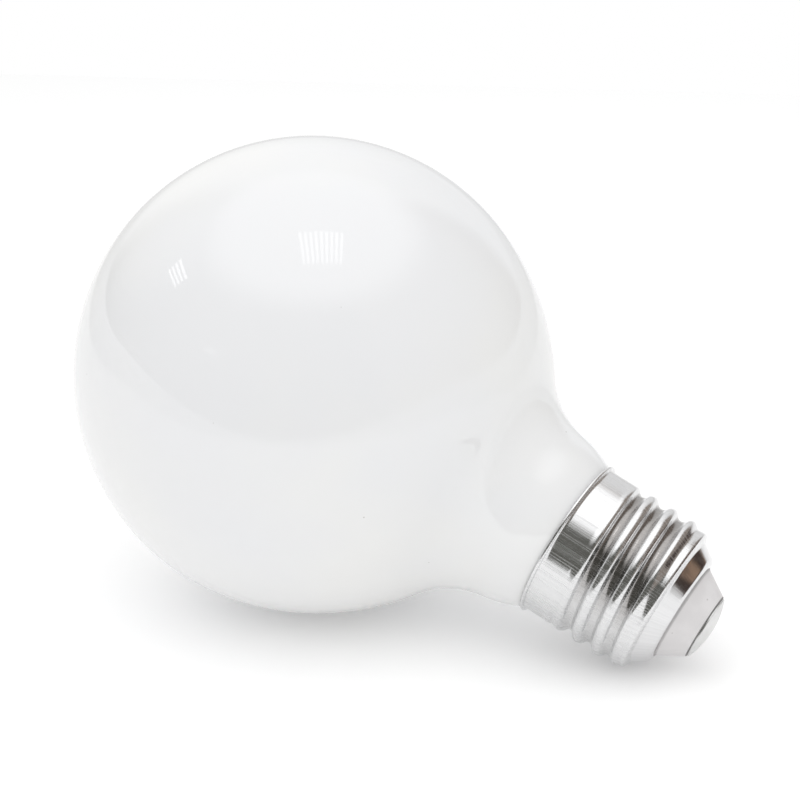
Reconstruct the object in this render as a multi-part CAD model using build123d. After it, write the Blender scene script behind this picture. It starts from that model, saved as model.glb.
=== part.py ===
"""LED globe lamp: an opal glass globe with a neck, cemented into a rolled 27 mm screw cap.

Each piece is drawn in the lamp's own frame: Z is the lamp's axis, zero at the middle of
the globe, and it grows towards the cap. X is the side that faces the floor once the lamp
lies down. At the end every piece is laid on the floor, where the globe and the collar at
the end of the thread carry the lamp.
"""
import math
import os

from build123d import *

# Glass globe and neck
GLOBE_RADIUS = 40.0
SHOULDER_RADIUS = 45.0         # flatter arc between the globe and the neck
SHOULDER_ANGLE = 67.0          # from the lamp's axis to where that arc begins
NECK_FILLET = 15.4             # hollow arc where the neck begins
NECK_TAPER = 10.7
NECK_END_ARC = 18.0            # the neck's last stretch turns in towards the cap
NECK_MOUTH_ANGLE = 31.0        # slope of the neck where it enters the cap
NECK_INSERT = 3.2              # how far the neck goes into the cap
FLARE_WALL = 1.6
FLARE_DEPTH = 13.0             # hollow under the neck, up to the glass press
FLARE_TOP_RADIUS = 4.6
FLARE_FILLET = 0.4
EXHAUST_RADIUS = 1.75
EXHAUST_LENGTH = 2.2           # past the end of the neck
EXHAUST_ROUND = 1.05
GLASS_SEAM = 0.04              # between the glass and the lip of the cap

# Screw cap, drawn and rolled from one thin sheet
CAP_MOUTH = 51.25              # from the middle of the globe to the middle of the lip
SHEET = 0.3
LIP_BEAD = 0.3
LIP_FLARE_WIDTH = 0.6          # the lip stands out past the band
LIP_FLARE_LENGTH = 1.05
LIP_FLARE_FILLET = 0.8
BAND_RADIUS = 13.0
THREAD_CREST = 13.15
THREAD_PITCH = 3.629
THREAD_ARC = 1.025             # crest and root are arcs of this one radius
CREST_AT_FLOOR = 6.7           # from the mouth to the first crest, on the floor's side
THREAD_START = 3.3             # from the mouth to where the thread fades in
THREAD_FADE_IN = 3.2
THREAD_END = 17.7              # from the mouth to where the thread has faded out
THREAD_FADE_OUT = 2.4
COLLAR_RADIUS = 12.45          # plain collar that the thread fades into
COLLAR_LENGTH = 0.6
COLLAR_ROUND = 0.5
STEP_LENGTH = 0.45             # steep step from the collar to the cone
STEP_RADIUS = 11.2
STEP_FILLET = 0.8
CONE_LENGTH = 2.65
CONE_END_RADIUS = 9.3
CAP_END_ROUND = 0.7
CAP_HOLE = 8.2                 # hole in the end of the cap, around the insulator
AROUND = 24                    # points round each section of the thread
OUTER_STEPS = 9                # sections in one pitch of the outer face
INNER_STEPS = 5

# Insulator, moulded with a flange that the cap's cone holds
FIT = 0.05                     # between pieces that are set into each other
FLANGE_THICKNESS = 2.2
INSULATOR_LENGTH = 4.25        # from the end of the cap to the tip
INSULATOR_TIP = 5.45
INSULATOR_CHAMFER = 0.2
INSULATOR_ROUND = 0.25
WIRE_HOLE = 0.75

# Centre contact, a domed disc with a pin
CONTACT_RADIUS = 5.25
CONTACT_RIM = 0.3
CONTACT_DOME = 1.0
PIN_RADIUS = 1.5
PIN_LENGTH = 5.4

# Cement between the neck and the band
CEMENT_START = 0.7             # from the mouth
CEMENT_LENGTH = 2.3

# Driver board, on edge inside the cap
BOARD_WIDTH = 16.0
BOARD_THICKNESS = 1.0
BOARD_FACE = -3.0              # Y of the face that carries the capacitor
EXHAUST_GAP = 0.6
CAPACITOR_RADIUS = 3.15
CAPACITOR_LENGTH = 10.5
CAPACITOR_PLACE = (-3.9, 6.0)  # X, and from the board's top edge to the middle
CAPACITOR_GROOVE = 0.25
CAPACITOR_GROOVE_PLACE = 1.0   # from the sealed end
RECTIFIER_SIZE = (3.9, 2.5, 4.7)
RECTIFIER_PLACE = (2.6, 3.2)
CHIP_SIZE = (3.9, 1.5, 4.9)
CHIP_PLACE = (0.0, 6.4)
FUSE_RADIUS = 1.3
FUSE_WAIST = 1.1
FUSE_LENGTH = 6.0
FUSE_CAP_LENGTH = 1.0
FUSE_ROUND = 0.3
FUSE_PLACE = (6.3, 6.2)
SENSE_SIZE = (1.6, 0.55, 3.2)
SENSE_PLACES = ((4.9, 5.2), (4.9, 9.0))
PACKAGE_CHAMFER = 0.12
SOLDER_RADIUS = 0.75

# Wires
LIVE_WIRE_RADIUS = 0.4
LIVE_WIRE_END = (0.0, 7.6)     # on the board: X, and from the board's top edge
LIVE_WIRE_BEND = 0.9
LIVE_WIRE_SLANT = 1.8          # along the axis, from the insulator's hole to the board
LEAD_RADIUS = 0.25
LEAD_SPACING = 3.0
LEAD_BEND = 0.8
LEAD_END = 2.2                 # from the board's top edge
NEUTRAL_WIRE_END = (-5.6, 3.4)
NEUTRAL_WIRE_BEND = 1.0
NEUTRAL_WIRE_STRAIGHT = 1.5    # along the wall, before the cement

# Places that follow from the sizes above
LIP_RADIUS = BAND_RADIUS + LIP_FLARE_WIDTH
LIP_TO_GLASS = (LIP_BEAD + GLASS_SEAM) / math.cos(math.radians(NECK_MOUTH_ANGLE))
NECK_MOUTH = LIP_RADIUS - LIP_BEAD - LIP_TO_GLASS
NECK_END = CAP_MOUTH + NECK_INSERT
COLLAR_END = CAP_MOUTH + THREAD_END + COLLAR_LENGTH
CONE_START = COLLAR_END + STEP_LENGTH
CAP_END = CONE_START + CONE_LENGTH
TIP = CAP_END + INSULATOR_LENGTH
FLANGE_FACE = CAP_END - SHEET - FIT - FLANGE_THICKNESS
EXHAUST_END = NECK_END + EXHAUST_LENGTH
FLARE_TOP = NECK_END - FLARE_DEPTH
BOARD_TOP = EXHAUST_END + EXHAUST_GAP
BOARD_BACK = BOARD_FACE - BOARD_THICKNESS


def degrees_sin(angle):
    return math.sin(math.radians(angle))


def degrees_cos(angle):
    return math.cos(math.radians(angle))


def turned(section):
    """A solid of revolution from a section drawn as (radius, place along the axis)."""
    return revolve(Plane.XZ * section, Axis.Z)


def closed_section(lines):
    return make_face(Wire(lines))


def arc_about(centre, start, end):
    """The shorter arc about a centre, from one point to another."""
    half_way = (start - centre + end - centre).normalized()
    return ThreePointArc(start, centre + half_way * (start - centre).length, end)


def neck_arc_radius(height):
    """Radius of the neck's last arc at a place along the axis."""
    centre_radius = NECK_MOUTH - NECK_END_ARC * degrees_cos(NECK_MOUTH_ANGLE)
    centre_height = CAP_MOUTH - NECK_END_ARC * degrees_sin(NECK_MOUTH_ANGLE)
    return centre_radius + math.sqrt(NECK_END_ARC ** 2 - (height - centre_height) ** 2)


def shoulder_leave():
    """Direction from the middle of the globe to where the shoulder's arc begins."""
    return Vector(degrees_sin(SHOULDER_ANGLE), degrees_cos(SHOULDER_ANGLE))


def shoulder_centre():
    return (GLOBE_RADIUS - SHOULDER_RADIUS) * shoulder_leave()


def glass_outline():
    """Tangent arcs from the globe's far pole to the end of the neck.

    The neck is set out from the cap's mouth. The hollow arc is the circle that touches
    both the shoulder's arc, from outside, and the neck's straight side.
    """
    mouth = Vector(NECK_MOUTH, CAP_MOUTH)
    side = Vector(degrees_cos(NECK_TAPER), degrees_sin(NECK_TAPER))
    end_centre = mouth - NECK_END_ARC * Vector(
        degrees_cos(NECK_MOUTH_ANGLE), degrees_sin(NECK_MOUTH_ANGLE)
    )
    bend = end_centre + NECK_END_ARC * side

    along = Vector(side.Y, -side.X)
    shoulder = shoulder_centre()
    start = bend + NECK_FILLET * side - shoulder
    reach = SHOULDER_RADIUS + NECK_FILLET
    across = start.dot(along)
    travel = -across - math.sqrt(across ** 2 - start.dot(start) + reach ** 2)
    fillet_centre = shoulder + start + travel * along
    shoulder_end = shoulder + (fillet_centre - shoulder) * (SHOULDER_RADIUS / reach)
    fillet_end = fillet_centre - NECK_FILLET * side

    globe_end = GLOBE_RADIUS * shoulder_leave()
    neck_end = Vector(neck_arc_radius(NECK_END), NECK_END)
    return [
        CenterArc((0, 0), GLOBE_RADIUS, -90, 180 - SHOULDER_ANGLE),
        arc_about(shoulder, globe_end, shoulder_end),
        arc_about(fillet_centre, shoulder_end, fillet_end),
        Line(fillet_end, bend),
        arc_about(end_centre, bend, neck_end),
    ]


def make_glass():
    """Globe and neck in one blown piece, sealed, with the flare's hollow under the neck.

    The hollow runs up to the flat glass press that the leads come out of. The sealed end
    of the exhaust tube stands in the middle.
    """
    outline = glass_outline()
    rim_radius = neck_arc_radius(NECK_END)
    hollow = FilletPolyline(
        (rim_radius, NECK_END),
        (rim_radius - FLARE_WALL, NECK_END),
        (FLARE_TOP_RADIUS, FLARE_TOP),
        (EXHAUST_RADIUS, FLARE_TOP),
        (EXHAUST_RADIUS, EXHAUST_END),
        (0, EXHAUST_END),
        radius=[FLARE_WALL / 2, FLARE_FILLET, FLARE_FILLET, EXHAUST_ROUND],
    )
    axis_line = Line((0, EXHAUST_END), (0, -GLOBE_RADIUS))
    return turned(closed_section([*outline, *hollow.edges(), axis_line]))


def smooth_step(share):
    share = min(max(share, 0.0), 1.0)
    return share * share * (3 - 2 * share)


def blend(first, second, share):
    return first + (second - first) * share


def thread_radius(angle, height, inset):
    """Radius of the rolled thread: crest and root arcs that meet as tangents.

    inset is the distance under the outer face, so the crest's arc gets smaller by it and
    the root's arc gets larger, as in a bent sheet.
    """
    crest = CAP_MOUTH + CREST_AT_FLOOR + THREAD_PITCH * angle / 360
    from_crest = abs((height - crest + THREAD_PITCH / 2) % THREAD_PITCH - THREAD_PITCH / 2)
    half_wave = THREAD_PITCH / 4
    arc_rise = math.sqrt(THREAD_ARC ** 2 - half_wave ** 2)
    crest_centre = THREAD_CREST - THREAD_ARC
    root_centre = crest_centre + 2 * arc_rise
    if from_crest * THREAD_ARC < (THREAD_ARC - inset) * half_wave:
        return crest_centre + math.sqrt((THREAD_ARC - inset) ** 2 - from_crest ** 2)
    from_root = THREAD_PITCH / 2 - from_crest
    return root_centre - math.sqrt((THREAD_ARC + inset) ** 2 - from_root ** 2)


def wall_radius(angle, height, inset):
    """Radius of the cap's wall: the band, the thread and the collar, blended."""
    fade_in = smooth_step((height - CAP_MOUTH - THREAD_START) / THREAD_FADE_IN)
    fade_out = smooth_step((height - CAP_MOUTH - THREAD_END) / THREAD_FADE_OUT + 1)
    radius = blend(BAND_RADIUS - inset, thread_radius(angle, height, inset), fade_in)
    return blend(radius, COLLAR_RADIUS - inset, fade_out)


def wall_section(height, inset):
    points = []
    for place in range(AROUND):
        angle = 360 * place / AROUND
        radius = wall_radius(angle, height, inset)
        points.append(Vector(radius * degrees_cos(angle), radius * degrees_sin(angle), height))
    return Wire([Edge.make_spline(points, periodic=True)])


def wall_solid(inset, steps_per_pitch):
    """Solid under one face of the threaded wall: closed sections, joined by straight strips."""
    start = CAP_MOUTH + THREAD_START
    length = THREAD_END - THREAD_START
    steps = math.ceil(length / THREAD_PITCH * steps_per_pitch)
    first = Wire.make_circle(BAND_RADIUS - inset, Plane.XY.offset(start))
    last = Wire.make_circle(COLLAR_RADIUS - inset, Plane.XY.offset(start + length))
    between = [wall_section(start + length * step / steps, inset) for step in range(1, steps)]
    return Solid.make_loft([first, *between, last], ruled=True)


def make_threaded_wall():
    return wall_solid(0, OUTER_STEPS) - wall_solid(SHEET, INNER_STEPS)


def make_lip_and_band():
    """Plain band with a flared mouth that ends in a rolled bead."""
    bead_centre = (LIP_RADIUS - LIP_BEAD, CAP_MOUTH)
    outer = FilletPolyline(
        (BAND_RADIUS, CAP_MOUTH + THREAD_START),
        (BAND_RADIUS, CAP_MOUTH + LIP_FLARE_LENGTH),
        (LIP_RADIUS - LIP_BEAD + SHEET / 2, CAP_MOUTH),
        radius=LIP_FLARE_FILLET,
    )
    sheet = make_face(Wire(outer.edges()).offset_2d(SHEET, side=Side.RIGHT))
    bead = Pos(*bead_centre) * Circle(LIP_BEAD)
    return turned(sheet) + turned(bead)


def make_cap_end():
    """Collar, step and cone, with the end turned in around the insulator."""
    outer = FilletPolyline(
        (COLLAR_RADIUS, CAP_MOUTH + THREAD_END),
        (COLLAR_RADIUS, COLLAR_END),
        (STEP_RADIUS, CONE_START),
        (CONE_END_RADIUS, CAP_END),
        (CAP_HOLE, CAP_END),
        radius=[COLLAR_ROUND, STEP_FILLET, CAP_END_ROUND],
    )
    sheet = make_face(Wire(outer.edges()).offset_2d(SHEET, side=Side.LEFT))
    return turned(sheet)


def make_screw_shell():
    return make_lip_and_band() + make_threaded_wall() + make_cap_end()


def make_cement(neutral_wire):
    """Ring of cement between the neck and the band, moulded around the neutral wire."""
    top = CAP_MOUTH + CEMENT_START
    bottom = top + CEMENT_LENGTH
    middle = (top + bottom) / 2
    wall = BAND_RADIUS - SHEET
    glass_side = ThreePointArc(
        (neck_arc_radius(bottom), bottom),
        (neck_arc_radius(middle), middle),
        (neck_arc_radius(top), top),
    )
    rest = Polyline(glass_side @ 1, (wall, top), (wall, bottom), glass_side @ 0)
    return turned(closed_section([glass_side, *rest.edges()])) - neutral_wire


def make_insulator():
    """White insulator: a flange under the cap's cone, a spigot through its hole, a cone."""
    cone_slope = (STEP_RADIUS - CONE_END_RADIUS) / CONE_LENGTH
    wall_in = (SHEET + FIT) * math.hypot(1, cone_slope)
    flange_end = CAP_END - SHEET - FIT

    def flange_radius(height):
        return STEP_RADIUS - cone_slope * (height - CONE_START) - wall_in

    spigot = CAP_HOLE - FIT
    outline = FilletPolyline(
        (WIRE_HOLE, FLANGE_FACE),
        (flange_radius(FLANGE_FACE), FLANGE_FACE),
        (flange_radius(flange_end), flange_end),
        (spigot, flange_end),
        (spigot, CAP_END + FIT),
        (spigot - INSULATOR_CHAMFER, CAP_END + FIT + INSULATOR_CHAMFER),
        (INSULATOR_TIP, TIP),
        (PIN_RADIUS, TIP),
        (PIN_RADIUS, TIP - PIN_LENGTH),
        (WIRE_HOLE, TIP - PIN_LENGTH),
        radius=[INSULATOR_ROUND, CAP_END_ROUND, 0, 0, 0, INSULATOR_ROUND, 0, 0],
    )
    wire_hole = Line(outline @ 1, outline @ 0)
    return turned(closed_section([*outline.edges(), wire_hole]))


def make_contact():
    """Centre contact, turned in one piece: a shallow dome on a short rim, and its pin."""
    rim_top = TIP + CONTACT_RIM
    apex = rim_top + CONTACT_DOME
    ball = (CONTACT_RADIUS ** 2 + CONTACT_DOME ** 2) / (2 * CONTACT_DOME)
    half = CONTACT_RADIUS / 2
    crown = apex - ball + math.sqrt(ball ** 2 - half ** 2)
    dome = ThreePointArc((CONTACT_RADIUS, rim_top), (half, crown), (0, apex))
    pin_end = TIP - PIN_LENGTH
    rest = Polyline(
        (0, apex), (0, pin_end), (PIN_RADIUS, pin_end), (PIN_RADIUS, TIP),
        (CONTACT_RADIUS, TIP), (CONTACT_RADIUS, rim_top),
    )
    return turned(closed_section([dome, *rest.edges()]))


def on_board(place, depth, behind=False):
    """A point at a depth off the board: place is X, and the distance from the top edge."""
    across, down = place
    level = BOARD_BACK - depth if behind else BOARD_FACE + depth
    return (across, level, BOARD_TOP + down)


def make_board():
    height = FLANGE_FACE - BOARD_TOP
    middle = (0, BOARD_FACE - BOARD_THICKNESS / 2, BOARD_TOP + height / 2)
    return Pos(*middle) * Box(BOARD_WIDTH, BOARD_THICKNESS, height)


def make_capacitor():
    """Electrolytic can on its side, with the pressed groove near its sealed end."""
    groove_place = CAPACITOR_LENGTH / 2 - CAPACITOR_GROOVE_PLACE
    can = Cylinder(CAPACITOR_RADIUS, CAPACITOR_LENGTH)
    can = fillet(can.edges().filter_by(GeomType.CIRCLE), CAPACITOR_GROOVE)
    groove = Pos(0, 0, -groove_place) * Torus(CAPACITOR_RADIUS, CAPACITOR_GROOVE)
    return Pos(*on_board(CAPACITOR_PLACE, CAPACITOR_RADIUS)) * (can - groove)


def make_packaged(size, place, behind=False):
    """Moulded component that sits flat on the board, its outer edges chamfered."""
    width, depth, length = size
    body = Pos(*on_board(place, depth / 2, behind)) * Box(width, depth, length)
    outer_face = body.faces().sort_by(Axis.Y)[0 if behind else -1]
    return chamfer(outer_face.edges(), PACKAGE_CHAMFER)


def make_fuse_resistor():
    """Barrel with a thick end cap at each end, lying on the board."""
    half = FUSE_LENGTH / 2
    shoulder = half - FUSE_CAP_LENGTH
    outline = FilletPolyline(
        (0, -half), (FUSE_RADIUS, -half), (FUSE_RADIUS, -shoulder), (FUSE_WAIST, -shoulder),
        (FUSE_WAIST, shoulder), (FUSE_RADIUS, shoulder), (FUSE_RADIUS, half), (0, half),
        radius=[FUSE_ROUND, 0, 0, 0, 0, FUSE_ROUND],
    )
    barrel = turned(closed_section([*outline.edges(), Line((0, half), (0, -half))]))
    return Pos(*on_board(FUSE_PLACE, FUSE_RADIUS)) * barrel


def wire_along(points, radius, bend):
    path = FilletPolyline(*points, radius=bend)
    start = Plane(origin=path @ 0, z_dir=path % 0)
    return sweep(start * Circle(radius), path=path)


def make_live_wire():
    """From the contact's pin, through the insulator's hole, to the board."""
    end = on_board(LIVE_WIRE_END, LIVE_WIRE_RADIUS)
    over_flange = FLANGE_FACE - LIVE_WIRE_BEND
    return wire_along(
        [
            (0, 0, TIP - PIN_LENGTH),
            (0, 0, over_flange),
            (end[0], end[1], over_flange - LIVE_WIRE_SLANT),
            end,
        ],
        LIVE_WIRE_RADIUS,
        LIVE_WIRE_BEND,
    )


def make_neutral_wire():
    """From the back of the board to the band, where the cement holds it to the wall."""
    end = on_board(NEUTRAL_WIRE_END, LEAD_RADIUS, behind=True)
    reach = BAND_RADIUS - SHEET - FIT - LEAD_RADIUS
    wall_x = -math.sqrt(reach ** 2 - end[1] ** 2)
    cement_end = CAP_MOUTH + CEMENT_START + CEMENT_LENGTH
    return wire_along(
        [
            end,
            (end[0], end[1], BOARD_TOP - NEUTRAL_WIRE_BEND),
            (wall_x, end[1], cement_end + NEUTRAL_WIRE_STRAIGHT),
            (wall_x, end[1], cement_end - CEMENT_LENGTH / 2),
        ],
        LEAD_RADIUS,
        NEUTRAL_WIRE_BEND,
    )


def make_lead(side):
    """Lead from the glass press to the back of the board, past the exhaust tube."""
    across = side * LEAD_SPACING
    end = on_board((across, LEAD_END), LEAD_RADIUS, behind=True)
    over_edge = BOARD_TOP - LEAD_BEND
    return wire_along(
        [
            (across, 0, FLARE_TOP),
            (across, 0, over_edge + end[1] / 2),
            (across, end[1], over_edge),
            end,
        ],
        LEAD_RADIUS,
        LEAD_BEND,
    )


def make_solder(wires):
    """Domes of solder on the board, around the end of each wire."""
    front = [LIVE_WIRE_END]
    back = [NEUTRAL_WIRE_END, (-LEAD_SPACING, LEAD_END), (LEAD_SPACING, LEAD_END)]
    domes = []
    for place in front:
        ball = Pos(*on_board(place, 0)) * Sphere(SOLDER_RADIUS)
        domes.append(split(ball, Plane.XZ.offset(-BOARD_FACE), keep=Keep.BOTTOM))
    for place in back:
        ball = Pos(*on_board(place, 0, behind=True)) * Sphere(SOLDER_RADIUS)
        domes.append(split(ball, Plane.XZ.offset(-BOARD_BACK), keep=Keep.TOP))
    return [dome - wires for dome in domes]


def rest_on_floor():
    """Tilt of the axis and height of the globe's middle, lying on a floor.

    The floor touches the rounded edge of the collar, and the shoulder's arc, or the globe
    itself where the shoulder begins past the place that would touch.
    """
    slope = math.atan2(COLLAR_RADIUS - STEP_RADIUS, STEP_LENGTH)
    edge_place = COLLAR_END - COLLAR_ROUND * math.tan(slope / 2)
    edge_centre = Vector(COLLAR_RADIUS - COLLAR_ROUND, edge_place)

    def lying_on(centre, radius):
        reach = edge_centre - centre
        drop = math.asin((radius - COLLAR_ROUND) / reach.length)
        tilt = math.degrees(drop - math.atan2(reach.X, reach.Y))
        down = Vector(degrees_cos(tilt), degrees_sin(tilt))
        return tilt, centre.dot(down) + radius

    tilt, height = lying_on(shoulder_centre(), SHOULDER_RADIUS)
    if 90 - tilt > SHOULDER_ANGLE:
        tilt, height = lying_on(Vector(0, 0), GLOBE_RADIUS)
    return tilt, height


live_wire = make_live_wire()
neutral_wire = make_neutral_wire()
leads = [make_lead(-1), make_lead(1)]
wires = Compound([*live_wire.solids(), *neutral_wire.solids(), *leads[0].solids(),
                  *leads[1].solids()])

pieces = {
    "glass_globe": make_glass(),
    "screw_shell": make_screw_shell(),
    "cap_cement": make_cement(neutral_wire),
    "cap_insulator": make_insulator(),
    "centre_contact": make_contact(),
    "driver_board": make_board(),
    "filter_capacitor": make_capacitor(),
    "bridge_rectifier": make_packaged(RECTIFIER_SIZE, RECTIFIER_PLACE),
    "driver_chip": make_packaged(CHIP_SIZE, CHIP_PLACE, behind=True),
    "fuse_resistor": make_fuse_resistor(),
    "sense_resistors": Compound([
        solid
        for place in SENSE_PLACES
        for solid in make_packaged(SENSE_SIZE, place, behind=True).solids()
    ]),
    "live_wire": live_wire,
    "neutral_wire": neutral_wire,
    "filament_lead_left": leads[0],
    "filament_lead_right": leads[1],
    "solder_joints": Compound([
        solid for dome in make_solder(wires) for solid in dome.solids()
    ]),
}

tilt, globe_height = rest_on_floor()
laid = Pos(0, 0, globe_height) * Rot(0, 90 + tilt, 0)
contact_box = (laid * pieces["centre_contact"]).bounding_box()
insulator_box = (laid * pieces["cap_insulator"]).bounding_box()
far_end = max(contact_box.max.X, insulator_box.max.X)
on_floor = Pos((GLOBE_RADIUS - far_end) / 2, 0, 0) * laid
print(f"tilt {tilt:.3f} degrees, length over all {GLOBE_RADIUS + far_end:.2f} mm")

os.makedirs("parts", exist_ok=True)
for name, piece in pieces.items():
    export_step(on_floor * piece, f"parts/{name}.step")
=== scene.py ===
import math

import bpy
import numpy as np
from mathutils import Matrix, Vector


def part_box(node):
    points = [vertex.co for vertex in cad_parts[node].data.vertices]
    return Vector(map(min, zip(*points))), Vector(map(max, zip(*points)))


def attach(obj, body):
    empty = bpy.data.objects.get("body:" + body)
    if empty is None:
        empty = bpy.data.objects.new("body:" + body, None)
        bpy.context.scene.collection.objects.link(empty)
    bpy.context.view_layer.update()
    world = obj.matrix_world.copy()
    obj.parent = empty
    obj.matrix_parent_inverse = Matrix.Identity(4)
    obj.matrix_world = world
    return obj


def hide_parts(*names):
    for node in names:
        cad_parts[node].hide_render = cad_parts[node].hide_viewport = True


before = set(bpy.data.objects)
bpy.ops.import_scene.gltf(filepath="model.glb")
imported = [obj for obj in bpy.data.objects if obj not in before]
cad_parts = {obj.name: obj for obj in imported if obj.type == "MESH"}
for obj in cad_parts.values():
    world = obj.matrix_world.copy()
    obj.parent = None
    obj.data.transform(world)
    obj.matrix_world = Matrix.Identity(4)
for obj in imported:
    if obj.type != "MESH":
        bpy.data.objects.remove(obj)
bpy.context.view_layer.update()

# LED globe lamp: opal glass globe and neck, rolled screw cap, insulator, centre contact.
#
# Every piece is worked out in the lamp's own frame: Z is the lamp's axis, zero at the middle
# of the globe, growing towards the cap, and X is the side that faces the floor. Then it is
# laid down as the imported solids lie. Lengths are in metres.

MM = 0.001

# How the lamp lies
TILT = math.radians(24.432)
GLOBE_RADIUS = 40 * MM
GLOBE_HEIGHT = 40.0016 * MM
GLOBE_CENTRE = Vector((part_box("glass_globe")[0].x + GLOBE_RADIUS, 0, GLOBE_HEIGHT))

# Glass
SHOULDER_RADIUS = 45 * MM
SHOULDER_ANGLE = math.radians(67)
NECK_FILLET = 15.4 * MM
NECK_TAPER = math.radians(10.7)
NECK_END_ARC = 18 * MM
NECK_MOUTH_ANGLE = math.radians(31)
NECK_INSERT = 3.2 * MM
GLASS_SEAM = 0.04 * MM         # between the neck and the cap's lip
FLARE_WALL = 1.6 * MM
FLARE_DEPTH = 13 * MM
FLARE_TOP_RADIUS = 4.6 * MM
FLARE_FILLET = 0.4 * MM
EXHAUST_RADIUS = 1.75 * MM
EXHAUST_LENGTH = 2.2 * MM
EXHAUST_ROUND = 1.05 * MM

# Screw cap
CAP_MOUTH = 51.25 * MM
SHEET = 0.3 * MM
LIP_FLARE_WIDTH = 0.6 * MM
LIP_BEAD = 0.3 * MM
LIP_FLARE_LENGTH = 0.5 * MM
LIP_FLARE_FILLET = 0.6 * MM
BAND_RADIUS = 13 * MM
THREAD_CREST = 13.15 * MM
THREAD_PITCH = 3.629 * MM
THREAD_ARC = 1.025 * MM
CREST_AT_FLOOR = 6.7 * MM
THREAD_START = 4.5 * MM
THREAD_FADE_IN = 1.9 * MM
THREAD_END = 17.7 * MM
THREAD_FADE_OUT = 2.4 * MM
COLLAR_RADIUS = 12.45 * MM
COLLAR_LENGTH = 0.6 * MM
COLLAR_ROUND = 0.5 * MM
STEP_LENGTH = 0.45 * MM
STEP_RADIUS = 11.2 * MM
STEP_FILLET = 0.8 * MM
CONE_LENGTH = 2.65 * MM
CONE_END_RADIUS = 9.3 * MM
CAP_END_ROUND = 1.5 * MM
CAP_HOLE = 8.2 * MM

# Insulator and contact
FIT = 0.05 * MM                # between the insulator and the cap
FLANGE_THICKNESS = 2.2 * MM
INSULATOR_LENGTH = 4.25 * MM
INSULATOR_TIP = 5.45 * MM
INSULATOR_CHAMFER = 0.2 * MM
INSULATOR_ROUND = 0.25 * MM
WIRE_HOLE = 0.75 * MM
CONTACT_RADIUS = 5.25 * MM
CONTACT_RIM = 0.3 * MM
CONTACT_DOME = 1 * MM
CONTACT_EDGE = 0.12 * MM
PIN_RADIUS = 1.5 * MM
PIN_LENGTH = 5.4 * MM

# How finely the surfaces are divided
ARC_STEP = math.radians(3)
LINE_STEP = 0.5 * MM
FINE_STEP = 0.12 * MM
INNER_COARSER = 3              # the inner face has one row for so many of the outer face
EDGE_ROUND = 0.06 * MM
GLASS_AROUND = 240
CAP_AROUND = 256
SMALL_AROUND = 160
ROWS_PER_PITCH = 36
SHARP_EDGE = math.radians(30)
SAME_POINT = 0.001 * MM        # points nearer to each other than this are one

# Places that follow
LIP_RADIUS = BAND_RADIUS + LIP_FLARE_WIDTH
LIP_TO_GLASS = (LIP_BEAD + GLASS_SEAM) / math.cos(NECK_MOUTH_ANGLE)
NECK_MOUTH = LIP_RADIUS - LIP_BEAD - LIP_TO_GLASS
NECK_END = CAP_MOUTH + NECK_INSERT
COLLAR_END = CAP_MOUTH + THREAD_END + COLLAR_LENGTH
CONE_START = COLLAR_END + STEP_LENGTH
CAP_END = CONE_START + CONE_LENGTH
TIP = CAP_END + INSULATOR_LENGTH
FLANGE_FACE = CAP_END - SHEET - FIT - FLANGE_THICKNESS
EXHAUST_END = NECK_END + EXHAUST_LENGTH
FLARE_TOP = NECK_END - FLARE_DEPTH
SPIGOT_END = CAP_END + FIT


def grey(level):
    return (level, level, level, 1.0)


# Finishes. Colours are linear, a scale is how often the noise turns in a metre, and a pair is
# where a smooth step starts and ends.

# Opal glass
GLASS_COOL = (0.772, 0.776, 0.786, 1)
GLASS_WARM = (0.795, 0.795, 0.786, 1)
CLOUD_SCALE = 22
CLOUD_EDGE = (0.38, 0.66)
SPECK_COLOUR = (0.25, 0.23, 0.2, 1)
SPECK_SPACING = 8 * MM
SPECK_SIZE = 0.02              # share of the spacing
SPECK_STRENGTH = 0.55
WIPE_SCALES = (40, 40, 160)
WIPE_EDGE = (0.45, 0.8)
WIPE_ROUGHNESS = 0.02
WAVE_SCALE = 45
SEED_SCALE = 900
SEED_SHARE = 0.01
GLASS_ROUGHNESS = 0.008
GLASS_RELIEF = 0.012 * MM
GLASS_IOR = 1.53

# Cap metal
METAL_BRIGHT = (0.77, 0.77, 0.775, 1)
METAL_DEEP = (0.71, 0.71, 0.715, 1)
TONE_EDGE = (0.35, 0.7)
DRAWN_FINE = 100
DRAWN_COARSE = 55
DRAWN_STRETCH = 250            # how many times longer than wide the lines are
DRAWN_EDGE = (0.5, 0.6)
DRAWN_ROUGHNESS = 0.25
DRAWN_RELIEF = 0.005 * MM
CONE_POLISH = 0.75             # share of the drawn lines that the cone has lost
HAZE_SCALE = 160
HAZE_EDGE = (0.4, 0.75)
HAZE_ROUGHNESS = 0.04
METAL_ROUGHNESS = 0.13
# Painted shade and painted reflection: the thread's roots are darkened, a little on the lower side
# and more on the upper side, where the room's dark side would show in the metal.
ROOT_PAINTED_SHADE = (0.23, 0.212, 0.2, 1)
ROOT_SHADE_RADII = (12.5 * MM, 12.15 * MM)
UPPER_SHADE_SIDE = (BAND_RADIUS * 0.3, BAND_RADIUS * -0.4)     # X faces the floor
ROOT_SHADE_BELOW = 0.15
ROOT_SHADE_ADDED_ABOVE = 0.65

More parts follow.
